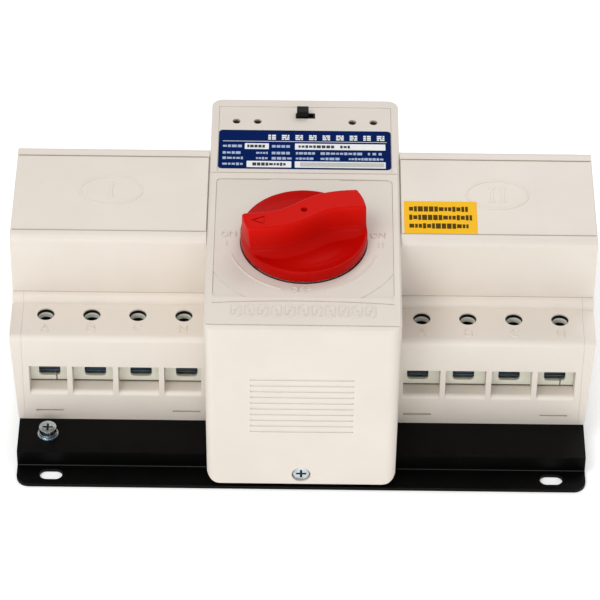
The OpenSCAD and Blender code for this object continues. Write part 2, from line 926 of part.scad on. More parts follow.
module centre_cover() {
    color(ivory)
    difference() {
        union() {
            difference() {
                intersection() {
                    translate([0, (cover_front + cover_back) / 2, 0])
                        linear_extrude(height = cover_z + 1)
                            rrect(2 * cover_half, cover_back - cover_front, cover_r);
                    along_x(-40, 40)
                        cover_side();
                    along_y(cover_front - 1, cover_back + 1)
                        cover_face();
                }
                along_x(-34.6, 34.6)
                    polygon([
                        [cover_front + 2.2, 0],
                        [cover_back - 2, 0],
                        [cover_back - 2, roof_z - (cover_back - 2 - fold_y) * slope_drop],
                        [fold_y, roof_z],
                        [cover_front + 2.2, roof_z]
                    ]);
            }
            intersection() {
                rod_y(cover_front + 1, -shelf_half - 0.3, 0, 8.2, 5);
                box([-9, cover_front, cover_z0], [9, -60, 20]);
            }
            rod_y(shelf_half, cover_back - 1, 20, 14, 4.5);
            for (sx = [-29, 29], y = [34.5, 56.5]) {
                rod_z(board_z + 1.6, roof_z - (y - fold_y) * slope_drop + 0.5, sx, y, 2.4);
                rod_z(board_z - 0.6, board_z + 2, sx, y, 1.2);
            }
        }
        box([-41, -shelf_half - 0.2, 0], [41, shelf_half + 0.2, shelf_z + 0.1]);
        box([-cover_half - 1, 17.4, cover_z - 0.45], [cover_half + 1, 17.95, cover_z + 1]);
        translate([0, -20.45, cover_z - 1.4])
            linear_extrude(height = 3)
                rrect(69.2, 69.3, 2);
        rod_z(roof_z - 1, cover_z, 0, axis_y, 8);
        on_slope()
            box([-34.55, 0.15, -0.9], [34.55, 42.45, 2]);
        led_spots()
            rod_z(79, 88, 0, 0, 1.6);
        box([-3.75, 53.25, 79], [4.05, 56.85, 88]);
        for (i = [0 : vent_count - 1])
            translate([0, cover_front, 31.7 + vent_pitch * i])
                cube([2 * vent_half, 1.8, 0.9], center = true);
        rod_y(cover_front - 1, cover_front + 2.5, 0, 8.2, 3.7);
        rod_y(cover_front, -shelf_half, 0, 8.2, 1.6);
        rod_y(shelf_half - 1, cover_back + 1, 20, 14, 1.6);
        box([-30.3, cover_back - 3, shelf_z - 1], [-1.7, cover_back + 1, 21.4]);
        for (s = [-1, 1])
            translate([s * 36, mid_y, 78.1])
                cube([6, rack_travel + 4.4, 5.6], center = true);
        box([-cover_half - 1, -70.7, cover_z - 0.6], [cover_half + 1, -70.2, cover_z + 1]);
        translate([0, -57.1 - 420, cover_z - 0.4])
            linear_extrude(height = 1)
                intersection() {
                    difference() {
                        circle(r = 420.3);
                        circle(r = 419.7);
                    }
                    translate([-34.5, 400])
                        square([69, 30]);
                }
    }
}

module dial_arc(a0, a1) {
    intersection() {
        difference() {
            circle(r = 29.3);
            circle(r = 28.6);
        }
        polygon([
            [0, 0],
            [40 * cos(a0), 40 * sin(a0)],
            [60 * cos((a0 + a1) / 2), 60 * sin((a0 + a1) / 2)],
            [40 * cos(a1), 40 * sin(a1)]
        ]);
    }
}

module dial_plate() {
    color(ivory)
    difference() {
        union() {
            translate([0, -20.45, cover_z - 1.35])
                linear_extrude(height = 0.9)
                    rrect(69, 69.1, 1.9);
            intersection() {
                translate([0, -20.45, cover_z - 1])
                    linear_extrude(height = 0.8)
                        rrect(69, 69.1, 1.9);
                rod_z(cover_z - 1, cover_z, 0, axis_y, 38.9);
            }
            translate([0, axis_y, cover_z - 0.4])
                linear_extrude(height = 0.35) {
                    dial_arc(196, 254);
                    dial_arc(286, 344);
                    for (x = [-29.8, 29, 30.6])
                        translate([x, -1.8])
                            square([0.7, 2.6], center = true);
                }
        }
        rod_z(cover_z - 3, cover_z + 2, 0, axis_y, 6);
    }
}

module indicator_panel() {
    color(ivory)
    difference() {
        on_slope()
            box([-34.45, 0.25, -0.88], [34.45, 42.35, -0.2]);
        led_spots()
            rod_z(79, 88, 0, 0, 1.6);
        box([-3.75, 53.25, 79], [4.05, 56.85, 88]);
    }
}

module rating_label() {
    color([0.02, 0.12, 0.42])
    on_slope()
        translate([0, 14.5, -0.19])
            linear_extrude(height = 0.14)
                rrect(68.6, 24.8, 1.6);
}

module caution_label() {
    color([0.98, 0.78, 0.16])
    box([39, mid_y - top_plate_d / 2 + 0.2, nose_z - 0.09],
        [67.5, 3.5, nose_z + 0.06]);
}

module cover_screws() {
    color(zinc) {
        difference() {
            union() {
                rod_y(cover_front + 0.6, cover_front + 2.4, 0, 8.2, 3.1);
                rod_y(cover_front + 2, -shelf_half + sheet_t + 0.3, 0, 8.2, 1.45);
            }
            translate([0, cover_front + 0.6, 8.2])
                rotate([90, 0, 0])
                    cross_recess(2, 1.2);
        }
        difference() {
            union() {
                rod_y(cover_back + 0.05, cover_back + 1.9, 20, 14, 3.1);
                rod_y(shelf_half - 2.6, cover_back + 0.5, 20, 14, 1.45);
            }
            translate([20, cover_back + 1.9, 14])
                rotate([-90, 0, 0])
                    cross_recess(2, 1.2);
        }
    }
}

// ---------- centre: electronics ----------

module control_board() {
    color([0.05, 0.32, 0.16])
    difference() {
        box([-33, 31, board_z], [33, 61, board_z + 1.58]);
        for (sx = [-29, 29], y = [34.5, 56.5])
            rod_z(board_z - 1, board_z + 3, sx, y, 1.25);
    }
}

module relays() {
    color([0.10, 0.12, 0.16])
    for (s = [-1, 1])
        translate([s * 14, 44, board_z - 8])
            cube([19, 15, 15.9], center = true);
}

module indicator_leds() {
    color([0.35, 0.02, 0.02])
    led_spots() {
        rod_z(board_z + 1.6, board_z + 2.8, 0, 0, 1.9);
        rod_z(board_z + 1.6, led_z - 1.3, 0, 0, 1.45);
        translate([0, 0, led_z - 1.6])
            sphere(r = 1.45);
    }
}

module slide_switch_body() {
    color(black)
    difference() {
        box([-3.6, 53.4, board_z + 1.6], [3.9, 56.7, 84.6]);
        box([-3.1, 54.1, 80], [3.3, 56, 86]);
    }
}

module mode_slider() {
    color([0.12, 0.12, 0.12])
    union() {
        box([-3, 54.2, 80.1], [0.2, 55.9, 85]);
        box([-3.3, 53.8, 84.8], [1.4, 57.5, 87.6]);
    }
}

module signal_terminal_block() {
    color([0.10, 0.35, 0.16])
    difference() {
        box([-30, 51, shelf_z + 0.1], [-2, cover_back + 1, 21]);
        for (i = [0 : 5]) {
            rod_y(55, cover_back + 2, -27.5 + 4.6 * i, 13.5, 1.5);
            rod_z(18, 22, -27.5 + 4.6 * i, 55, 1.6);
        }
    }
}

// ---------- nodes ----------

base_plate();
centre_cover();
dial_plate();
indicator_panel();
rating_label();
caution_label();
rotary_handle();
handle_screw();
drive_shaft();
drive_gear();
rack_pinion();
shaft_bushes();
lower_frame();
upper_frame_plate();
frame_spacers();
frame_screws();
base_screws();
gear_motor();
motor_pinion();
left_rack();
right_rack();
control_board();
relays();
indicator_leds();
slide_switch_body();
mode_slider();
signal_terminal_block();
cover_screws();
earth_screw();
sided(-1) housing();  // left_housing
sided(-1) end_cap();  // left_end_cap
sided(-1) nose_cover();  // left_nose_cover
sided(-1) top_plate(-1);  // left_top_plate
sided(-1) guards(-3.7);  // left_terminal_guards
sided(-1) clamps();  // left_terminal_clamps
sided(-1) terminal_screws();  // left_terminal_screws
sided(-1) toggles(-toggle_swing / 2);  // left_toggles
sided(-1) toggle_shaft();  // left_toggle_shaft
sided(-1) tie_bar(-toggle_swing / 2);  // left_tie_bar
sided(-1) contact_arms(0);  // left_contact_arms
sided(-1) straps();  // left_straps
sided(-1) arc_chutes();  // left_arc_chutes
sided(-1) magnetic_coils();  // left_magnetic_coils
sided(-1) bimetals();  // left_bimetals
sided(1) housing();  // right_housing
sided(1) end_cap();  // right_end_cap
sided(1) nose_cover();  // right_nose_cover
sided(1) top_plate(1);  // right_top_plate
sided(1) guards(1.3);  // right_terminal_guards
sided(1) clamps();  // right_terminal_clamps
sided(1) terminal_screws();  // right_terminal_screws
sided(1) toggles(toggle_swing / 2);  // right_toggles
sided(1) toggle_shaft();  // right_toggle_shaft
sided(1) tie_bar(toggle_swing / 2);  // right_tie_bar
sided(1) contact_arms(-arm_swing);  // right_contact_arms
sided(1) straps();  // right_straps
sided(1) arc_chutes();  // right_arc_chutes
sided(1) magnetic_coils();  // right_magnetic_coils
sided(1) bimetals();  // right_bimetals
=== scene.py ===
"""Dual-source transfer switch: materials, moulding details, labels, knob, studio."""
import math

import bmesh
import bpy
from mathutils import Matrix, Vector


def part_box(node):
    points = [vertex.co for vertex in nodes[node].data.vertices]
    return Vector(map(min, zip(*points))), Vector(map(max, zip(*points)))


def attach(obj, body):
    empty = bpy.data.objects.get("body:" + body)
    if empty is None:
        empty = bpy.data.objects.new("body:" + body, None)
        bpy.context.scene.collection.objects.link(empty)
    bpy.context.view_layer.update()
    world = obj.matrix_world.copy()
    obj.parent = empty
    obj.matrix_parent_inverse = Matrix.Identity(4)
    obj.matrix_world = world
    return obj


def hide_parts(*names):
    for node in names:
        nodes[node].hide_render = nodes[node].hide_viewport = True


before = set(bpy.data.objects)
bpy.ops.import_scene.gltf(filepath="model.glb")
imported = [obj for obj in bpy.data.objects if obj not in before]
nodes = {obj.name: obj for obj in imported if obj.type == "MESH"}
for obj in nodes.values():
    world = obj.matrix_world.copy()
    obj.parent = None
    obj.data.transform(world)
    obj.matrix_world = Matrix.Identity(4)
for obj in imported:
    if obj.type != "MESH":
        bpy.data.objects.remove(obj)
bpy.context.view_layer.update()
MM = 0.001
scene = bpy.context.scene


# ---------------------------------------------------------------- mesh helpers
def new_object(name, mesh):
    """Object at the origin, linked to the scene."""
    obj = bpy.data.objects.new(name, mesh)
    scene.collection.objects.link(obj)
    return obj


def mesh_object(name, verts, faces):
    """Object from raw faces, with doubled points merged and normals facing out."""
    mesh = bpy.data.meshes.new(name)
    mesh.from_pydata([tuple(v) for v in verts], [], faces)
    bm = bmesh.new()
    bm.from_mesh(mesh)
    bmesh.ops.remove_doubles(bm, verts=bm.verts, dist=1e-7)
    bmesh.ops.recalc_face_normals(bm, faces=bm.faces)
    bm.to_mesh(mesh)
    bm.free()
    return new_object(name, mesh)


def smooth(obj, angle=35):
    """Smooth shading that breaks at edges sharper than the angle, in degrees."""
    for p in obj.data.polygons:
        p.use_smooth = True
    obj.data.set_sharp_from_angle(angle=math.radians(angle))


def apply_modifiers(obj):
    """Bakes the modifiers into the mesh."""
    deps = bpy.context.evaluated_depsgraph_get()
    mesh = bpy.data.meshes.new_from_object(obj.evaluated_get(deps))
    obj.modifiers.clear()
    obj.data = mesh


def boolean(obj, cutter, operation):
    """Exact boolean that uses up the cutter."""
    mod = obj.modifiers.new("cut", "BOOLEAN")
    mod.operation = operation
    mod.solver = "EXACT"
    mod.object = cutter
    apply_modifiers(obj)
    bpy.data.objects.remove(cutter)


def soften(obj, width, segments=2, angle=32):
    """Rounds a CAD node's sharp moulded or sheared edges with modifiers; its points stay put."""
    weld = obj.modifiers.new("weld", "WELD")
    weld.merge_threshold = 2e-6
    bevel = obj.modifiers.new("bevel", "BEVEL")
    bevel.width = width * MM
    bevel.segments = segments
    bevel.limit_method = "ANGLE"
    bevel.angle_limit = math.radians(angle)
    bevel.use_clamp_overlap = True
    bevel.harden_normals = False
    normal = obj.modifiers.new("normal", "WEIGHTED_NORMAL")
    normal.keep_sharp = False
    normal.weight = 80
    for p in obj.data.polygons:
        p.use_smooth = True


def lathe(name, profile, steps=128):
    """Closed turned body from (radius, height) points, both in mm, about the local Z axis."""
    verts, faces = [], []
    for i in range(steps):
        a = 2 * math.pi * i / steps
        verts += [(r * math.cos(a) * MM, r * math.sin(a) * MM, z * MM) for r, z in profile]
    n = len(profile)
    for i in range(steps):
        j = (i + 1) % steps
        for k in range(n - 1):
            faces.append((i * n + k, j * n + k, j * n + k + 1, i * n + k + 1))
    return mesh_object(name, verts, faces)


def prism(name, outline, z0, z1, bevel=0.0):
    """Plate with a polygonal outline (mm), from z0 to z1 (mm), with an optional small top round."""
    bm = bmesh.new()
    ring = [bm.verts.new((x * MM, y * MM, z0 * MM)) for x, y in outline]
    face = bm.faces.new(ring)
    out = bmesh.ops.extrude_face_region(bm, geom=[face])
    top = [v for v in out["geom"] if isinstance(v, bmesh.types.BMVert)]
    bmesh.ops.translate(bm, verts=top, vec=(0, 0, (z1 - z0) * MM))
    bmesh.ops.recalc_face_normals(bm, faces=bm.faces)
    if bevel:
        edges = [e for e in bm.edges if all(v in top for v in e.verts)]
        bmesh.ops.bevel(bm, geom=edges, offset=bevel * MM, segments=2, profile=0.5, affect="EDGES")
    mesh = bpy.data.meshes.new(name)
    bm.to_mesh(mesh)
    bm.free()
    return new_object(name, mesh)


def round_rect(cx, cy, w, h, r, steps=6):
    """Outline of a rectangle with rounded corners, counterclockwise."""
    pts = []
    for sx, sy, a0 in ((1, 1, 0), (-1, 1, 90), (-1, -1, 180), (1, -1, 270)):
        for i in range(steps + 1):
            a = math.radians(a0 + 90 * i / steps)
            pts.append((cx + sx * (w / 2 - r) + r * math.cos(a),
                        cy + sy * (h / 2 - r) + r * math.sin(a)))
    return pts


def joined(name, objs):
    """One piece from several meshes."""
    bm = bmesh.new()
    for o in objs:
        tmp = o.data.copy()
        tmp.transform(o.matrix_world)
        bm.from_mesh(tmp)
        bpy.data.meshes.remove(tmp)
        bpy.data.objects.remove(o)
    mesh = bpy.data.meshes.new(name)
    bm.to_mesh(mesh)
    bm.free()
    return new_object(name, mesh)


def place(obj, matrix):
    """Moves the mesh itself, so the object stays at the origin."""
    obj.data.transform(matrix)
    return obj


def arc(cx, cy, rx, ry, a0, a1, n=10):
    """Points along an elliptical arc, from angle a0 to a1 in degrees."""
    return [(cx + rx * math.cos(math.radians(a0 + (a1 - a0) * i / n)),
             cy + ry * math.sin(math.radians(a0 + (a1 - a0) * i / n))) for i in range(n + 1)]


# Single-stroke phase and position marks on a unit cell 1 high.
MARKS = {
    "A": [[(0, 0), (0.36, 1), (0.72, 0)], [(0.14, 0.36), (0.58, 0.36)]],
    "B": [[(0, 0), (0, 1), (0.36, 1)] + arc(0.36, 0.76, 0.24, 0.24, 90, -90) + [(0, 0.52)],
          [(0.36, 0.52)] + arc(0.40, 0.26, 0.26, 0.26, 90, -90) + [(0, 0)]],
    "C": [arc(0.42, 0.5, 0.42, 0.5, 50, 310, 16)],
    "N": [[(0, 0), (0, 1), (0.66, 0), (0.66, 1)]],
    "O": [arc(0.4, 0.5, 0.4, 0.5, 0, 360, 20)],
    "F": [[(0, 0), (0, 1), (0.56, 1)], [(0, 0.52), (0.46, 0.52)]],
    "I": [[(0.15, 0), (0.15, 1)]],
}
WIDTHS = {"A": 0.72, "B": 0.66, "C": 0.74, "N": 0.66, "O": 0.8, "F": 0.56, "I": 0.3}


def ridges(name, lines, z, radius):
    """Embossed strokes: round ridges (mm) sunk half their height into a surface at z."""
    curve = bpy.data.curves.new(name, "CURVE")
    curve.dimensions = "3D"
    curve.bevel_depth = radius * MM
    curve.bevel_resolution = 2
    curve.use_fill_caps = True
    for line in lines:
        closed = len(line) > 3 and math.dist(line[0], line[-1]) < 1e-6
        points = line[:-1] if closed else line
        points = [q for i, q in enumerate(points) if i == 0 or math.dist(q, points[i - 1]) > 1e-6]
        spline = curve.splines.new("POLY")
        spline.points.add(len(points) - 1)
        for point, (x, y) in zip(spline.points, points):
            point.co = (x * MM, y * MM, z * MM, 1)
        spline.use_cyclic_u = closed
    obj = new_object(name, curve)
    deps = bpy.context.evaluated_depsgraph_get()
    mesh = bpy.data.meshes.new_from_object(obj.evaluated_get(deps))
    bpy.data.objects.remove(obj)
    return new_object(name, mesh)


def word_lines(word, cx, cy, height, stretch=1.0):
    """Single-stroke lines of a generic mark, centred on (cx, cy), in mm."""
    gap = 0.22
    total = sum(WIDTHS[c] for c in word) + gap * (len(word) - 1)
    x = -total / 2
    lines = []
    for c in word:
        for line in MARKS[c]:
            lines.append([(cx + (x + px) * height * stretch, cy + (py - 0.5) * height)
                          for px, py in line])
        x += WIDTHS[c] + gap
    return lines


# ---------------------------------------------------------------- materials
class Nodes:
    """Small builder round one material's node tree."""

    def __init__(self, name):
        self.mat = bpy.data.materials.new(name)
        self.mat.use_nodes = True
        self.tree = self.mat.node_tree
        self.bsdf = self.tree.nodes["Principled BSDF"]
        self.coord = self.tree.nodes.new("ShaderNodeTexCoord")

    def link(self, a, b):
        self.tree.links.new(a, b)

    def mapping(self, scale=(1, 1, 1)):
        """Object coordinates stretched per axis, which draws a noise out into lines."""
        m = self.tree.nodes.new("ShaderNodeMapping")
        m.inputs["Scale"].default_value = scale
        self.link(self.coord.outputs["Object"], m.inputs["Vector"])
        return m.outputs["Vector"]

    def noise(self, scale, detail=3.0, rough=0.55, vector=None, distortion=0.0):
        """Noise in object coordinates, so it doesn't need UVs; the scale is per metre."""
        n = self.tree.nodes.new("ShaderNodeTexNoise")
        n.inputs["Scale"].default_value = scale
        n.inputs["Detail"].default_value = detail
        n.inputs["Roughness"].default_value = rough
        n.inputs["Distortion"].default_value = distortion
        self.link(vector or self.coord.outputs["Object"], n.inputs["Vector"])
        return n.outputs["Fac"]

    def ramp(self, fac, stops):
        """Colour from a factor; stops are (position, colour) pairs."""
        r = self.tree.nodes.new("ShaderNodeValToRGB")
        el = r.color_ramp.elements
        el[0].position, el[0].color = stops[0]
        el[1].position, el[1].color = stops[-1]
        for pos, col in stops[1:-1]:
            e = el.new(pos)
            e.color = col
        self.link(fac, r.inputs["Fac"])
        return r.outputs["Color"]

    def range(self, fac, lo, hi, from_lo=0.0, from_hi=1.0):
        """Maps from_lo..from_hi to lo..hi, clamped."""
        r = self.tree.nodes.new("ShaderNodeMapRange")
        r.inputs["From Min"].default_value = from_lo
        r.inputs["From Max"].default_value = from_hi
        r.inputs["To Min"].default_value = lo
        r.inputs["To Max"].default_value = hi
        self.link(fac, r.inputs["Value"])
        return r.outputs["Result"]

    def mix(self, fac, a, b):
        """Colour a at factor 0 and b at factor 1; each may be a socket or a value."""
        m = self.tree.nodes.new("ShaderNodeMix")
        m.data_type = "RGBA"
        if hasattr(fac, "links"):
            self.link(fac, m.inputs["Factor"])
        else:
            m.inputs["Factor"].default_value = fac
        for value, socket in ((a, m.inputs["A"]), (b, m.inputs["B"])):
            if hasattr(value, "links"):
                self.link(value, socket)
            else:
                socket.default_value = value
        return m.outputs["Result"]

    def bump(self, heights):
        """Chain of bumps from (height socket, distance in metres, strength)."""
        previous = None
        for fac, distance, strength in heights:
            b = self.tree.nodes.new("ShaderNodeBump")
            b.inputs["Distance"].default_value = distance
            b.inputs["Strength"].default_value = strength
            self.link(fac, b.inputs["Height"])
            if previous:
                self.link(previous, b.inputs["Normal"])
            previous = b.outputs["Normal"]
        self.link(previous, self.bsdf.inputs["Normal"])

    def finish(self, color, rough, metallic=0.0, **sockets):
        """Sets the shader; further sockets are named with _ for a space."""
        if hasattr(color, "links"):
            self.link(color, self.bsdf.inputs["Base Color"])
        else:
            self.bsdf.inputs["Base Color"].default_value = color
        if hasattr(rough, "links"):
            self.link(rough, self.bsdf.inputs["Roughness"])
        else:
            self.bsdf.inputs["Roughness"].default_value = rough
        self.bsdf.inputs["Metallic"].default_value = metallic
        for key, value in sockets.items():
            self.bsdf.inputs[key.replace("_", " ")].default_value = value
        return self.mat


def rgb(r, g, b):
    """Linear colour from screen values 0 to 255."""
    def lin(c):
        c /= 255
        return c / 12.92 if c <= 0.04045 else ((c + 0.055) / 1.055) ** 2.4
    return (lin(r), lin(g), lin(b), 1.0)


def shade(c, k):
    """The colour, k times as bright."""
    return (min(1, c[0] * k), min(1, c[1] * k), min(1, c[2] * k), 1.0)


def moulded(name, color, rough=0.42, grain=0.25, coat=0.0, shine=0.5):
    """Injection-moulded plastic: fine spark-eroded grain, faint flow clouds, slight gloss drift."""
    n = Nodes(name)
    clouds = n.noise(28, 4, 0.6)
    specks = n.noise(2600, 2, 0.5)
    tone = n.ramp(clouds, [(0.3, shade(color, 0.965)), (0.7, shade(color, 1.02))])
    rub = n.noise(9, 5, 0.65, distortion=0.6)
    gloss = n.range(rub, rough - 0.05, rough + 0.07, 0.3, 0.7)
    n.bump([(specks, 0.00004, grain), (n.noise(140, 3, 0.5), 0.00006, 0.12)])
    return n.finish(tone, gloss, 0.0, Coat_Weight=coat, Coat_Roughness=0.2,
                    Specular_IOR_Level=shine)


def shaded_knob_plastic(name, top, foot, z0, z1, rough):
    """Glossy red moulding, painted darker towards the disc as shade on the grip's sides and the
    disc.
    """
    n = Nodes(name)
    split = n.tree.nodes.new("ShaderNodeSeparateXYZ")
    n.link(n.coord.outputs["Object"], split.inputs["Vector"])
    # Painted shade: the red darkens from the knob's top down to its disc.
    height = n.range(split.outputs["Z"], 0.0, 1.0, z0, z1)
    tone = n.mix(height, foot, top)
    clouds = n.noise(36, 4, 0.6)
    tone = n.mix(n.range(clouds, 0.0, 0.16, 0.35, 0.7), tone, shade(foot, 0.9))
    gloss = n.range(n.noise(60, 5, 0.65, distortion=0.6), rough - 0.05, rough + 0.08, 0.3, 0.7)
    n.bump([(n.noise(2400, 2, 0.5), 0.00003, 0.12), (n.noise(160, 3, 0.5), 0.00005, 0.1)])
    return n.finish(tone, gloss, 0.0, Specular_IOR_Level=0.07)


def painted_black(name):
    """Satin black powder paint with orange peel, and dust that settles in faint clouds."""
    n = Nodes(name)
    dust = n.noise(60, 6, 0.7)
    tone = n.ramp(dust, [(0.35, rgb(1, 1, 1)), (0.75, rgb(5, 5, 4))])
    gloss = n.range(n.noise(20, 4, 0.6), 0.42, 0.56, 0.3, 0.7)
    n.bump([(n.noise(900, 2, 0.5), 0.00006, 0.35)])
    return n.finish(tone, gloss, 0.0, Specular_IOR_Level=0.1)


def plated(name, dark, light, rough=0.28, stretch=(1, 1, 1), scale=300):
    """Zinc or nickel plating: drawn lines along one axis, and a clouded passivation tint."""
    n = Nodes(name)
    lines = n.noise(scale, 4, 0.6, vector=n.mapping(stretch))
    clouds = n.noise(130, 3, 0.6)
    tone = n.ramp(clouds, [(0.3, dark), (0.7, light)])
    gloss = n.range(lines, rough - 0.08, rough + 0.12, 0.3, 0.7)
    n.bump([(lines, 0.00002, 0.3)])
    return n.finish(tone, gloss, 1.0)


def plated_band_painted_light(name, dark, light, z0, z1):
    """Blue passivated zinc with painted light: a painted highlight on its lower bar, and painted
    shade over the blue above it.
    """
    n = Nodes(name)
    split = n.tree.nodes.new("ShaderNodeSeparateXYZ")
    n.link(n.coord.outputs["Object"], split.inputs["Vector"])
    # Painted light: pale below the edge heights as a highlight, darker blue above them as shade.
    height = n.range(split.outputs["Z"], 0.0, 1.0, z0, z1)
    lines = n.noise(300, 4, 0.6, vector=n.mapping((8, 1, 1)))
    blued_and_shaded = n.ramp(n.noise(130, 3, 0.6), [(0.3, dark), (0.7, shade(dark, 1.5))])
    tone = n.mix(height, light, blued_and_shaded)
    n.bump([(lines, 0.00002, 0.3)])
    return n.finish(tone, n.range(lines, 0.26, 0.44, 0.3, 0.7), 0.75)


def printed(name, color, rough=0.35, shine=0.3):
    """Printed film: tiny ink mottle under a thin clear layer."""
    n = Nodes(name)
    ink = n.noise(1800, 2, 0.5)
    tone = n.ramp(ink, [(0.3, shade(color, 0.93)), (0.7, shade(color, 1.05))])
    gloss = n.range(n.noise(40, 3, 0.5), rough - 0.04, rough + 0.06, 0.3, 0.7)
    n.bump([(n.noise(90, 3, 0.5), 0.00005, 0.15)])
    return n.finish(tone, gloss, 0.0, Specular_IOR_Level=shine)


def board(name):
    """Green circuit board with paler tracks."""
    n = Nodes(name)
    tracks = n.noise(260, 1, 0.3, vector=n.mapping((1, 6, 1)))
    tone = n.ramp(tracks, [(0.47, rgb(10, 70, 35)), (0.53, rgb(20, 100, 55))])
    n.bump([(tracks, 0.00003, 0.3)])
    return n.finish(tone, 0.35, 0.0)


def wound(name):
    """Enamelled copper winding; its turns are stacked along Y."""
    n = Nodes(name)
    turns = n.noise(2000, 1, 0.3, vector=n.mapping((0.02, 1, 0.02)))
    tone = n.ramp(turns, [(0.35, rgb(110, 50, 22)), (0.65, rgb(190, 105, 60))])
    n.bump([(turns, 0.00008, 0.5)])
    return n.finish(tone, 0.35, 0.9)


IVORY = rgb(231, 222, 211)
# Heights in metres: over the first pair the knob's painted shade fades out towards its top; the
# clamp cage is painted light below the second pair and painted shade above it.
KNOB_SHADE_HEIGHTS = (0.0925, 0.1005)
CAGE_SHADE_EDGE = (0.0265, 0.0269)
mats = {
    "ivory": moulded("ivory_moulding", IVORY, 0.40, 0.22),
    "cover": moulded("cover_moulding", shade(IVORY, 0.955), 0.38, 0.20),
    "dial": moulded("dial_moulding", shade(IVORY, 0.91), 0.44, 0.18),
    "joint": moulded("joint_shadow", rgb(172, 160, 144), 0.6, 0.1),
    "gap": moulded("gap_shadow", rgb(44, 14, 10), 0.7, 0.1),
    "groove": moulded("groove_shadow", rgb(104, 90, 72), 0.7, 0.1),
    "insert": moulded("guard_moulding", rgb(228, 228, 214), 0.42, 0.2),
    "red": shaded_knob_plastic("handle_moulding_painted_shade", rgb(210, 14, 3), rgb(186, 7, 1), *KNOB_SHADE_HEIGHTS, 0.33),
    "black": moulded("black_moulding", rgb(16, 16, 16), 0.42, 0.3, 0.0, 0.2),
    "nylon": moulded("nylon_gear", rgb(225, 220, 205), 0.5, 0.2),
    "led": moulded("tinted_lens", rgb(52, 12, 9), 0.28, 0.05, 0.0, 0.12),
    "relay": moulded("relay_case", rgb(30, 42, 70), 0.4, 0.2),
    "terminal": moulded("signal_block", rgb(40, 110, 62), 0.45, 0.25),
    "steel_black": painted_black("base_paint"),
    "bend_highlight": moulded("painted_bend_highlight", rgb(42, 42, 41), 0.45, 0.3),
    "zinc": plated("zinc_plate", rgb(186, 196, 202), rgb(240, 244, 246), 0.27, (1, 6, 1)),
    "screw": plated("screw_zinc", rgb(150, 165, 174), rgb(222, 232, 236), 0.2, (1, 6, 1)),
    "cage": plated_band_painted_light("clamp_zinc_painted_light", rgb(46, 64, 84), rgb(188, 214, 220), *CAGE_SHADE_EDGE),
    "bright": plated("machined_steel", rgb(168, 170, 172), rgb(212, 213, 214), 0.22, (1, 1, 8)),
    "copper": plated("copper_bar", rgb(176, 100, 66), rgb(222, 150, 110), 0.3, (1, 8, 1)),
    "bronze": plated("sintered_bronze", rgb(160, 118, 60), rgb(200, 160, 96), 0.42),
    "bimetal": plated("bimetal_strip", rgb(150, 140, 112), rgb(196, 186, 156), 0.3, (1, 1, 6)),
    "label": printed("label_film_blue", rgb(0, 29, 88), 0.38, 0.02),
    "white_ink": printed("label_ink_white", rgb(238, 240, 242), 0.4),
    "grey_ink": printed("label_ink_grey", rgb(196, 196, 190), 0.4),
    "pale_ink": printed("label_ink_pale", rgb(168, 184, 214), 0.4),
    "dark_ink": printed("label_ink_dark", rgb(34, 36, 46), 0.4),
    "yellow": printed("caution_film", rgb(253, 192, 18), 0.36, 0.12),
    "brown_ink": printed("caution_ink", rgb(84, 62, 0), 0.45, 0.06),
    "board": board("circuit_board"),
    "coil": wound("coil_winding"),
}


def paint(obj, key):
    """Gives an object one material from the table."""
    obj.data.materials.clear()
    obj.data.materials.append(mats[key])


# Each CAD node's material and the radius of its softened edges in mm; 0 leaves them sharp.
FINISH = {
    "base_plate": ("steel_black", 0.5), "centre_cover": ("cover", 0.35), "dial_plate": ("dial", 0),
    "indicator_panel": ("cover", 0), "rating_label": ("label", 0), "caution_label": ("yellow", 0),
    "rotary_handle": ("red", 0.4), "handle_screw": ("bright", 0.1), "drive_shaft": ("bright", 0.15),
    "drive_gear": ("nylon", 0), "rack_pinion": ("bright", 0), "shaft_bushes": ("bronze", 0.15),
    "lower_frame": ("zinc", 0.2), "upper_frame_plate": ("zinc", 0.2),
    "frame_spacers": ("zinc", 0.15), "frame_screws": ("zinc", 0.12),
    "base_screws": ("zinc", 0.12), "gear_motor": ("bright", 0.3),
    "motor_pinion": ("bronze", 0), "left_rack": ("bright", 0), "right_rack": ("bright", 0),
    "control_board": ("board", 0), "relays": ("relay", 0.4), "indicator_leds": ("led", 0),
    "slide_switch_body": ("black", 0.15), "mode_slider": ("black", 0.2),
    "signal_terminal_block": ("terminal", 0.25), "cover_screws": ("screw", 0.2),
    "earth_screw": ("screw", 0.25),
}
UNIT_FINISH = {
    "housing": ("ivory", 0.3), "end_cap": ("ivory", 0.45), "nose_cover": ("ivory", 0.4),
    "top_plate": ("ivory", 0.12), "terminal_guards": ("insert", 0.2),
    "terminal_clamps": ("cage", 0.3), "terminal_screws": ("cage", 0.2),
    "toggles": ("black", 0.3), "toggle_shaft": ("bright", 0.15),
    "tie_bar": ("bright", 0.15), "contact_arms": ("copper", 0.1), "straps": ("copper", 0.15),
    "arc_chutes": ("zinc", 0), "magnetic_coils": ("coil", 0.1), "bimetals": ("bimetal", 0.1),
}
for side in ("left", "right"):
    for key, value in UNIT_FINISH.items():
        FINISH[side + "_" + key] = value
for name, (key, width) in FINISH.items():
    paint(nodes[name], key)
    if width:
        soften(nodes[name], width)


def detail(obj, body, key, slot, sharp=35):
    """Paints a new piece, shades it smooth and hangs it on its body."""
    paint(obj, key)
    smooth(obj, sharp)
    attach(obj, body)
    return obj


# ---------------------------------------------------------------- rotary handle
knob_lo, knob_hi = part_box("rotary_handle")
axis = ((knob_lo.x + knob_hi.x) / 2 / MM, (knob_lo.y + knob_hi.y) / 2 / MM)
disc_r = (knob_hi.x - knob_lo.x) / 2 / MM
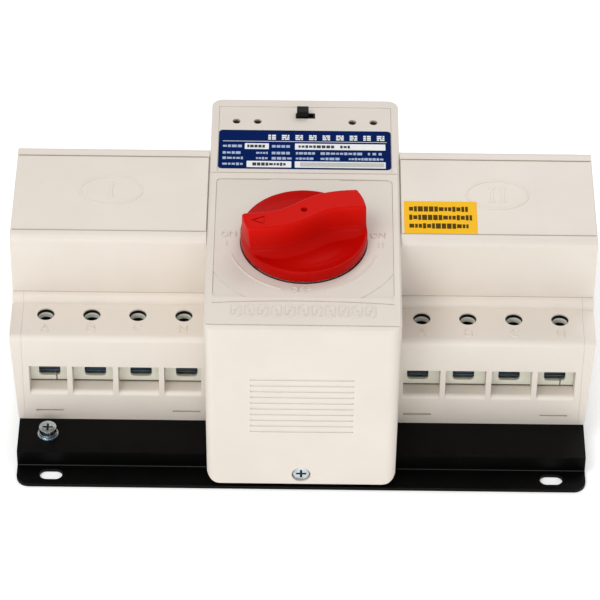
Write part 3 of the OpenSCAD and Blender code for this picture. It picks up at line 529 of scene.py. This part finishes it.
# The grip's top stays this far under the CAD box, and the disc's rim is this far above its foot.
TOP_CLEARANCE, RIM_HEIGHT = 0.04, 4.8
z_low, z_top = knob_lo.z / MM, knob_hi.z / MM - TOP_CLEARANCE
z_rim = z_low + RIM_HEIGHT
# The grip's centre line is an S: its sideways reach, how fast it swings over, and its offset.
SWAY, REACH, DRIFT = 7.0, 9.8, 0.25
# The grip's half width at its middle, how it widens along X, and where and how its ends narrow.
GRIP_HALF, GRIP_FLARE, END_START, END_LENGTH, END_PULL = 5.05, 0.018, 21.0, 3.0, 0.9
STATION_PITCH, STATIONS = 0.9, 31
VOXEL = 0.0003  # metres
ROUND_STEPS = 160
HOLE_R, HOLE_DEPTH = 1.3, 3.2
POINTER_X, POINTER_DEPTH = -17.4, 0.45


def grip_centre(x):
    """Sideways offset of the grip's centre line at x."""
    return DRIFT + SWAY * math.tanh(x / REACH)


def grip_section(x):
    """Cross-section of the grip, from the back foot over the top to the front foot."""
    end = max(0.0, (abs(x) - END_START) / END_LENGTH)
    half = GRIP_HALF + GRIP_FLARE * x - END_PULL * end ** 2
    rise = z_top - z_rim
    side = [(6.6, -1.45), (4.6, -1.0), (3.0, -0.1), (2.0, 1.2), (1.4, 3.0), (0.95, 5.2),
            (0.55, 7.6), (0.25, rise - 1.3), (0.1, rise - 0.6), (-0.12, rise - 0.25),
            (-0.45, rise - 0.05), (-0.9, rise)]
    back = [(half + d, z_rim + h) for d, h in side]
    front = [(-n, z) for n, z in reversed(back)]
    return back + [(half - 2.6, z_top), (0, z_top), (-half + 2.6, z_top)] + front


def build_grip():
    """Grip lofted along X; it overshoots the disc and is trimmed to it later."""
    stations = [i * STATION_PITCH for i in range(-STATIONS, STATIONS + 1)]
    verts, faces = [], []
    count = len(grip_section(0))
    for x in stations:
        slope = SWAY / REACH / math.cosh(x / REACH) ** 2
        k = math.hypot(1, slope)
        nx, ny = -slope / k, 1 / k
        for d, z in grip_section(x):
            verts.append(((x + d * nx) * MM, (grip_centre(x) + d * ny) * MM, z * MM))
    for i in range(len(stations) - 1):
        for j in range(count - 1):
            a = i * count + j
            faces.append((a, a + 1, a + count + 1, a + count))
        faces.append((i * count + count - 1, i * count,
                      (i + 1) * count, (i + 1) * count + count - 1))
    faces.append(tuple(range(count)))
    last = (len(stations) - 1) * count
    faces.append(tuple(reversed(range(last, last + count))))
    return mesh_object("grip", verts, faces)


def triangle_ring(outer, inner, z0, z1):
    """Closed triangular band used to engrave the pointer outline."""
    verts = [(x * MM, y * MM, z * MM) for z in (z0, z1) for ring in (outer, inner) for x, y in ring]
    faces = []
    for i in range(3):
        j = (i + 1) % 3
        faces += [(i, j, 6 + j, 6 + i), (3 + i, 3 + j, 9 + j, 9 + i),
                  (i, j, 3 + j, 3 + i), (6 + i, 6 + j, 9 + j, 9 + i)]
    return mesh_object("pointer", verts, faces)


def build_handle():
    """Disc with a dished top, the S grip merged into it, a screw hole and an engraved pointer."""
    wall = [(0, z_low), (disc_r - 0.4, z_low), (disc_r, z_low + 0.4), (disc_r, z_rim - 0.5)]
    dish = [(disc_r - 0.2, z_rim - 0.12), (disc_r - 0.55, z_rim), (disc_r - 1.1, z_rim - 0.06),
            (disc_r - 2.2, z_rim - 0.4), (disc_r - 4.0, z_rim - 0.85),
            (disc_r - 7.0, z_rim - 1.15), (0, z_rim - 1.2)]
    disc = lathe("disc", wall + dish, ROUND_STEPS)
    grip = build_grip()
    envelope = [(0, z_low + 1.4), (disc_r - 0.05, z_low + 1.4), (disc_r - 0.05, z_rim - 0.4),
                (disc_r - 0.45, z_rim + 2.0), (disc_r - 0.5, z_top - 0.9),
                (disc_r - 0.8, z_top - 0.3), (disc_r - 1.4, z_top + 0.1), (0, z_top + 0.1)]
    trim = lathe("trim", envelope, ROUND_STEPS)
    boolean(grip, trim, "INTERSECT")
    boolean(disc, grip, "UNION")
    remesh = disc.modifiers.new("remesh", "REMESH")
    remesh.mode = "VOXEL"
    remesh.voxel_size = VOXEL
    remesh.adaptivity = 0.0
    relax = disc.modifiers.new("relax", "SMOOTH")
    relax.factor = 0.5
    relax.iterations = 3
    apply_modifiers(disc)
    floor_z = z_top - HOLE_DEPTH
    bore = [(0, floor_z), (HOLE_R, floor_z), (HOLE_R, z_top + 2), (0, z_top + 2)]
    hole = lathe("hole", bore, 48)
    boolean(disc, hole, "DIFFERENCE")
    pointer = triangle_ring([(-3.0, 0.0), (2.4, 2.7), (2.4, -2.7)],
                            [(-1.5, 0.0), (1.7, 1.6), (1.7, -1.6)],
                            z_top - POINTER_DEPTH, z_top + 1)
    place(pointer, Matrix.Translation((POINTER_X * MM, grip_centre(POINTER_X) * MM, 0)))
    boolean(disc, pointer, "DIFFERENCE")
    disc.name = "rotary_handle_body"
    place(disc, Matrix.Translation((axis[0] * MM, axis[1] * MM, 0)))
    return disc


handle = build_handle()
detail(handle, "handle", "red", "red_plastic", 30)
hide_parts("rotary_handle")

# ---------------------------------------------------------------- dial marks on the dial plate
WORD_HEIGHT, WORD_STRETCH, BAR_HEIGHT = 2.7, 1.2, 2.6
RING_R, RING_SPAN = 28.95, 57
dial_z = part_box("dial_plate")[1].z / MM
lines = []
for word, dx, dy in (("ON", -29.1, 3.7), ("ON", 28.7, 3.7), ("OFF", -1.0, -28.0)):
    lines += word_lines(word, axis[0] + dx, axis[1] + dy, WORD_HEIGHT, WORD_STRETCH)
for dx in (-29.8, 29.0, 30.6):
    lines += word_lines("I", axis[0] + dx, axis[1] - 1.8, BAR_HEIGHT)
gap_in, gap_out = disc_r - 0.5, disc_r + 0.2
gap_low, gap_top = dial_z - 0.4, dial_z - 0.12
gap = lathe("gap", [(gap_in, gap_low), (gap_out, gap_low), (gap_out, gap_top),
                    (gap_in, gap_top), (gap_in, gap_low)], 128)
place(gap, Matrix.Translation((axis[0] * MM, axis[1] * MM, 0)))
gap.name = "dial_gap_ring"
detail(gap, "frame", "gap", "black_plastic", 40)
detail(ridges("dial_marks", lines, dial_z - 0.04, 0.3), "frame", "dial", "ivory_plastic", 40)
rings = [[(axis[0] + RING_R * math.cos(math.radians(a)),
           axis[1] + RING_R * math.sin(math.radians(a)))
          for a in range(start, start + RING_SPAN, 2)] for start in (197, 287)]
detail(ridges("dial_ring_marks", rings, dial_z - 0.15, 0.4), "frame", "dial", "ivory_plastic", 40)

# ---------------------------------------------------------------- fine joints round the nose covers
def across(x0, x1, ys):
    """Straight strokes along X, one at each y."""
    return [[(x0, y), (x1, y)] for y in ys]


for side in ("left", "right"):
    n_lo, n_hi = (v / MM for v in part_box(side + "_nose_cover"))
    t_lo, t_hi = (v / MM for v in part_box(side + "_top_plate"))
    x0, x1 = n_lo.x + 0.5, n_hi.x - 0.5
    top_lines = across(x0, x1, (t_lo.y - 0.05, t_hi.y + 0.05))
    foot_lines = across(x0, x1, (n_lo.y + 0.03, n_hi.y - 0.03))
    top = ridges(side + "_top_joints", top_lines, t_hi.z - 0.1, 0.13)
    low = ridges(side + "_foot_joints", foot_lines, n_lo.z, 0.15)
    detail(top, "frame", "joint", "ivory_plastic", 40)
    detail(low, "frame", "joint", "ivory_plastic", 40)
    g_lo, g_hi = (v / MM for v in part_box(side + "_terminal_guards"))
    guard_lines = across(g_lo.x, g_hi.x, (g_lo.y, g_hi.y))
    guard = ridges(side + "_guard_joints", guard_lines, g_lo.z - 0.2, 0.2)
    detail(guard, "frame", "groove", "ivory_plastic", 40)

# ---------------------------------------------------------------- painted highlight lines on the plate's bends
b_lo, b_hi = (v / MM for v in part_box("base_plate"))
shelf_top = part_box("left_housing")[0].z / MM
# Grey ridges painted as the highlights that the plate's bends catch.
for name, inset, z, radius in (("base_shelf_bend_lines", 10.68, shelf_top - 0.16, 0.14),
                               ("base_flange_bend_lines", 10.38, b_lo.z + 1.58, 0.16)):
    lines = across(b_lo.x + 0.4, b_hi.x - 0.4, (b_lo.y + inset, b_hi.y - inset))
    detail(ridges(name, lines, z, radius), "frame", "bend_highlight", "black_steel", 40)

# ---------------------------------------------------------------- painted shade: dark pads in the floors of the driver crosses
HEAD_R = 3.1
CROSS_ARM, CROSS_HALF = 1.96, 0.43
CROSS_DEEP, CROSS_TOP = -1.15, -0.35


def cross_pad(x, y, z, turn):
    """Dark pad painted as the shade in a driver cross; (x, y, z) mm is the middle of the head's
    face, turned about X.
    """
    a, b = CROSS_ARM, CROSS_HALF
    outline = [(a, -b), (a, b), (b, b), (b, a), (-b, a), (-b, b),
               (-a, b), (-a, -b), (-b, -b), (-b, -a), (b, -a), (b, -b)]
    pad = prism("x", outline, CROSS_DEEP, CROSS_TOP, 0.04)
    return place(pad, Matrix.Translation((x * MM, y * MM, z * MM))
                 @ Matrix.Rotation(math.radians(turn), 4, "X"))


e_lo, e_hi = (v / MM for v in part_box("earth_screw"))
s_lo, s_hi = (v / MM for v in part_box("cover_screws"))
crosses = [
    cross_pad((e_lo.x + e_hi.x) / 2, (e_lo.y + e_hi.y) / 2, e_hi.z, 0),
    cross_pad(s_lo.x + HEAD_R, s_lo.y, s_lo.z + HEAD_R, 90),
    cross_pad(s_hi.x - HEAD_R, s_hi.y, s_hi.z - HEAD_R, -90),
]
detail(joined("screw_cross_shade_pads", crosses), "frame", "black", "black_plastic", 30)

# ---------------------------------------------------------------- shallow floor of the vent grooves
# Drawn flat and turned upright, so its outline is in X and Z and its depth is measured along -Y.
VENT_Z, VENT_W, VENT_H = 45.4, 39.4, 30.0
cover_front = -(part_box("centre_cover")[0] / MM).y
vent_floor = prism("vent_groove_floor", round_rect(0, VENT_Z, VENT_W, VENT_H, 1.2),
                   cover_front - 0.8, cover_front - 0.3, 0.05)
place(vent_floor, Matrix.Rotation(math.radians(90), 4, "X"))
detail(vent_floor, "frame", "cover", "ivory_plastic", 30)

# ---------------------------------------------------------------- phase letters on the shoulders
LETTER_HEIGHT, LETTER_OUT = 4.2, 4.8
SHOULDER_DROP = 3.5


def clamp_grid(side):
    """Of one switch unit's clamp screws: the X of each, the Y of their front and back edge, and
    the height of the shoulder they stand under."""
    lo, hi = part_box(side + "_terminal_screws")
    h_lo, h_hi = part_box(side + "_housing")
    first, pitch = lo.x / MM + HEAD_R, ((hi.x - lo.x) / MM - 2 * HEAD_R) / 3
    front = lo.y / MM
    back = (h_lo.y + h_hi.y) / MM - front
    shoulder_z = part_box(side + "_end_cap")[1].z / MM - SHOULDER_DROP
    return [first + i * pitch for i in range(4)], front, back, shoulder_z


for side in ("left", "right"):
    xs, front, back, shoulder_z = clamp_grid(side)
    lines = []
    for y in (front - LETTER_OUT, back + LETTER_OUT):
        for x, letter in zip(xs, "ABCN"):
            lines += word_lines(letter, x, y, LETTER_HEIGHT)
    marks = ridges(side + "_phase_marks", lines, shoulder_z + 0.05, 0.34)
    detail(marks, "frame", "ivory", "ivory_plastic", 40)

# ---------------------------------------------------------------- sleeves and painted shade rings inside the driver holes
# Profiles in (radius, height from the shoulder), from the hole's mouth down. The first and last are
# black rings painted as shade: the dark gap just under the hole's mouth and the dark deep end of
# the hole.
MOUTH_SHADE_RING = [(3.38, -0.6), (3.1, -0.7), (3.1, -1.8), (3.38, -1.85), (3.38, -0.6)]
SLEEVE = [(3.36, -1.9), (2.94, -1.9), (2.82, -2.05), (2.82, -4.0), (3.36, -4.0), (3.36, -1.9)]
DEEP_SHADE_LINER = [(3.38, -4.05), (2.9, -4.05), (2.9, -5.75), (3.38, -5.75), (3.38, -4.05)]
for side in ("left", "right"):
    xs, front, back, shoulder_z = clamp_grid(side)
    sleeves, shade_rings = [], []
    for y in (front + HEAD_R, back - HEAD_R):
        for x in xs:
            spot = Matrix.Translation((x * MM, y * MM, shoulder_z * MM))
            sleeves.append(place(lathe("s", SLEEVE, 40), spot))
            shade_rings += [place(lathe("s", MOUTH_SHADE_RING, 40), spot), place(lathe("s", DEEP_SHADE_LINER, 40), spot)]
    detail(joined(side + "_driver_sleeves", sleeves), "frame", "insert", "insert_plastic", 40)
    detail(joined(side + "_driver_shade_rings", shade_rings), "frame", "black", "black_plastic", 40)

# ---------------------------------------------------------------- labels
FILM = 0.00014
label_lo, label_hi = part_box("rating_label")
slope = math.atan2(label_hi.z - label_lo.z - FILM, label_hi.y - label_lo.y)
on_label = (Matrix.Translation((0, label_hi.y, label_lo.z + FILM))
            @ Matrix.Rotation(-slope, 4, "X"))
label_h = (label_hi.y - label_lo.y) / math.cos(slope) / MM
label_w = (label_hi.x - label_lo.x) / MM


def print_patches(name, patches, key, lift=0.03, thick=0.03, slot="label_blue"):
    """Thin ink pads on the rating label: (x, y from the top edge, width, height, corner) in mm."""
    objs = []
    for x, y, w, h, r in patches:
        objs.append(prism("p", round_rect(x, -y, w, h, r, 3), lift - thick, lift))
    obj = joined(name, objs)
    place(obj, on_label)
    return detail(obj, "frame", key, slot, 30)


def word_bars(x0, x1, y, h, unit, gap, seed):
    """A line of small blocks that reads as a printed line at a distance, but says nothing."""
    out, x, k = [], x0, seed
    while x < x1 - unit * 0.5:
        k = (k * 7 + 3) % 11
        w = unit * (0.7 + 0.06 * k)
        w = min(w, x1 - x)
        out.append((x + w / 2, y, w, h * (0.75 if k % 3 == 0 else 1.0), 0.08))
        x += w + gap
    return out


def block_glyph(x, y, w, h, seed):
    """A title block: three short rows of pads, dense like print but with no meaning."""
    out, k = [], seed
    for row in range(3):
        k = (k * 5 + 3) % 7
        cut = w * (0.3 + 0.06 * k)
        yy = y + (row - 1) * h * 0.35
        out += [(x - w / 2 + cut / 2, yy, cut, h * 0.26, 0.12),
                (x + w / 2 - (w - cut - 0.35) / 2, yy, w - cut - 0.35, h * 0.26, 0.12)]
    return out


def build_rating_label():
    """Title blocks, four rows of blank entries and their boxes; rows are spaced by `step`."""
    left = -label_w / 2
    step = label_h / 6.2
    title, rows = [], []
    for i in range(9):
        title += block_glyph(left + 21.2 + i * 5.42, 1.15 * step, 3.0, 3.3, i + 1)
    title.append((0, 1.82 * step, label_w - 3.2, 0.28, 0.05))
    line_1, line_2, line_3, line_4 = (k * step for k in (2.62, 3.7, 4.55, 5.5))
    for y, seed in ((line_1, 2), (line_2, 3), (line_3, 8), (line_4, 4)):
        rows += word_bars(left + 1.7, left + 9.8, y, 1.6, 1.5, 0.4, seed)
    rows += word_bars(left + 21.2, left + 29.4, line_1, 1.6, 1.5, 0.4, 5)
    for y, seed in ((line_2, 3), (line_3, 8)):
        rows += word_bars(left + 15.0, left + 19.6, y, 1.5, 1.1, 0.3, seed + 1)
        rows += word_bars(left + 21.2, left + 29.2, y, 1.6, 1.5, 0.4, seed + 2)
        rows += word_bars(left + 30.8, left + 38.6, y, 1.5, 1.2, 0.3, seed + 3)
    rows += word_bars(left + 40.6, left + 57.2, line_2, 1.6, 1.5, 0.4, 7)
    rows += word_bars(left + 59.4, left + 65.6, line_2, 1.5, 1.1, 1.0, 6)
    rows += word_bars(left + 40.6, left + 48.8, line_3, 1.6, 1.5, 0.4, 2)
    rows += word_bars(left + 51.8, left + 66.0, line_3, 1.5, 1.1, 0.3, 9)
    print_patches("label_title", title, "white_ink")
    print_patches("label_lines", rows, "pale_ink")
    boxes = [(left + 15.2, line_1, 9.6, 3.7, 0.2), (left + 48.4, line_1, 36.0, 3.9, 0.2),
             (left + 20.2, line_4, 17.7, 4.0, 0.2), (left + 48.4, line_4, 36.0, 4.0, 0.2)]
    print_patches("label_boxes", boxes, "white_ink")
    fills = [(left + 49.2, line_4, 33.4, 2.7, 0.15)]
    print_patches("label_fill", fills, "grey_ink", 0.045, 0.02)
    dark = word_bars(left + 11.4, left + 19.0, line_1, 1.8, 1.1, 0.3, 6)
    dark += word_bars(left + 31.8, left + 46.6, line_1, 1.8, 1.3, 0.35, 9)
    dark += word_bars(left + 48.4, left + 53.0, line_1, 1.8, 1.2, 0.35, 3)
    dark += word_bars(left + 13.6, left + 26.8, line_4, 2.0, 1.2, 0.3, 1)
    print_patches("label_entries", dark, "dark_ink", 0.045, 0.02)


build_rating_label()

caution_lo, caution_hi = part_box("caution_label")
bars = []
cx0, cx1 = caution_lo.x / MM + 2.0, caution_hi.x / MM - 2.0
top_y, deep = caution_hi.y / MM, (caution_hi.y - caution_lo.y) / MM
caution_z = caution_hi.z / MM
for k, share in enumerate((0.24, 0.5, 0.76)):
    end = cx1 - (1.5 if k != 1 else 0)
    row = word_bars(cx0, end, -(top_y - deep * share), deep * 0.16, 1.5, 0.35, k + 2)
    for x, y, w, h, r in row:
        outline = round_rect(x, -y, w, h, r, 3)
        bars.append(prism("b", outline, caution_z - 0.02, caution_z + 0.02))
detail(joined("caution_lines", bars), "frame", "brown_ink", "label_yellow", 30)

# ---------------------------------------------------------------- embossed strip on the cover
STRIP_INSET, STRIP_PITCH = 9.7, 5.1
cover_lo, cover_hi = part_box("centre_cover")
strip_y, cover_z = cover_lo.y / MM + STRIP_INSET, cover_hi.z / MM
lines = []
for i in range(11):
    x = -25.5 + i * STRIP_PITCH
    outline = round_rect(x, strip_y, 3.7, 6.0, 1.0, 3)
    lean = 0.9 if i % 2 else -0.9
    lines += [outline + outline[:1],
              [(x - lean, strip_y + 1.9), (x + lean * 0.4, strip_y + 0.1)],
              [(x - lean * 0.4, strip_y - 0.1), (x + lean, strip_y - 1.9)]]
detail(ridges("cover_pattern", lines, cover_z + 0.02, 0.36), "frame", "cover", "ivory_plastic", 40)

# ---------------------------------------------------------------- studio
FLOOR_SIZE, FLOOR_Z = 3.0, -0.0002
WORLD_STRENGTH = 0.52
CAMERA_AT = (-0.0012, -1.0357, 0.9801)
CAMERA_TILT, CAMERA_ROLL = 42.4, 0.66
FLOOR_GLOW = 0.3
floor_mesh = bpy.data.meshes.new("floor")
bm = bmesh.new()
bmesh.ops.create_grid(bm, x_segments=2, y_segments=2, size=FLOOR_SIZE)
bm.to_mesh(floor_mesh)
bm.free()
floor = new_object("floor", floor_mesh)
floor.location = (0, 0, FLOOR_Z)
fm = Nodes("floor_paper")
fm_tone = fm.ramp(fm.noise(3, 2, 0.5),
                  [(0.3, (0.93, 0.93, 0.93, 1)), (0.7, (0.95, 0.95, 0.95, 1))])
floor_mat = fm.finish(fm_tone, 0.9, 0.0)
fm.bsdf.inputs["Emission Color"].default_value = (1, 1, 1, 1)
fm.bsdf.inputs["Emission Strength"].default_value = FLOOR_GLOW
floor_mesh.materials.append(floor_mat)

world = bpy.data.worlds.new("studio")
scene.world = world
world.use_nodes = True
background = world.node_tree.nodes["Background"]
background.inputs["Color"].default_value = (1.0, 1.0, 1.0, 1)
background.inputs["Strength"].default_value = WORLD_STRENGTH


def softbox(name, location, target, size, power):
    """Rectangular area light aimed at the target."""
    light = bpy.data.lights.new(name, "AREA")
    light.shape = "RECTANGLE"
    light.size, light.size_y = size
    light.energy = power
    obj = bpy.data.objects.new(name, light)
    obj.location = location
    aim = Vector(target) - Vector(location)
    obj.rotation_euler = aim.to_track_quat("-Z", "Y").to_euler()
    scene.collection.objects.link(obj)


softbox("key_light", (-0.55, -0.55, 1.25), (0, 0, 0.05), (0.9, 0.7), 6.9)
softbox("back_light", (0.5, 0.9, 1.1), (0, 0, 0.05), (0.9, 0.5), 4.4)
softbox("front_light", (-0.15, -1.5, 0.5), (0, 0, 0.04), (1.0, 0.5), 4.5)

scene.view_settings.view_transform = "Standard"
scene.view_settings.look = "None"

camera_data = bpy.data.cameras.new("camera")
camera_data.lens = 210
camera_data.sensor_width = 36
camera_data.clip_end = 20
camera = bpy.data.objects.new("camera", camera_data)
look = (Matrix.Rotation(math.radians(90) - math.radians(CAMERA_TILT), 4, "X")
        @ Matrix.Rotation(math.radians(CAMERA_ROLL), 4, "Z"))
camera.matrix_world = Matrix.Translation(CAMERA_AT) @ look
scene.collection.objects.link(camera)
scene.camera = camera
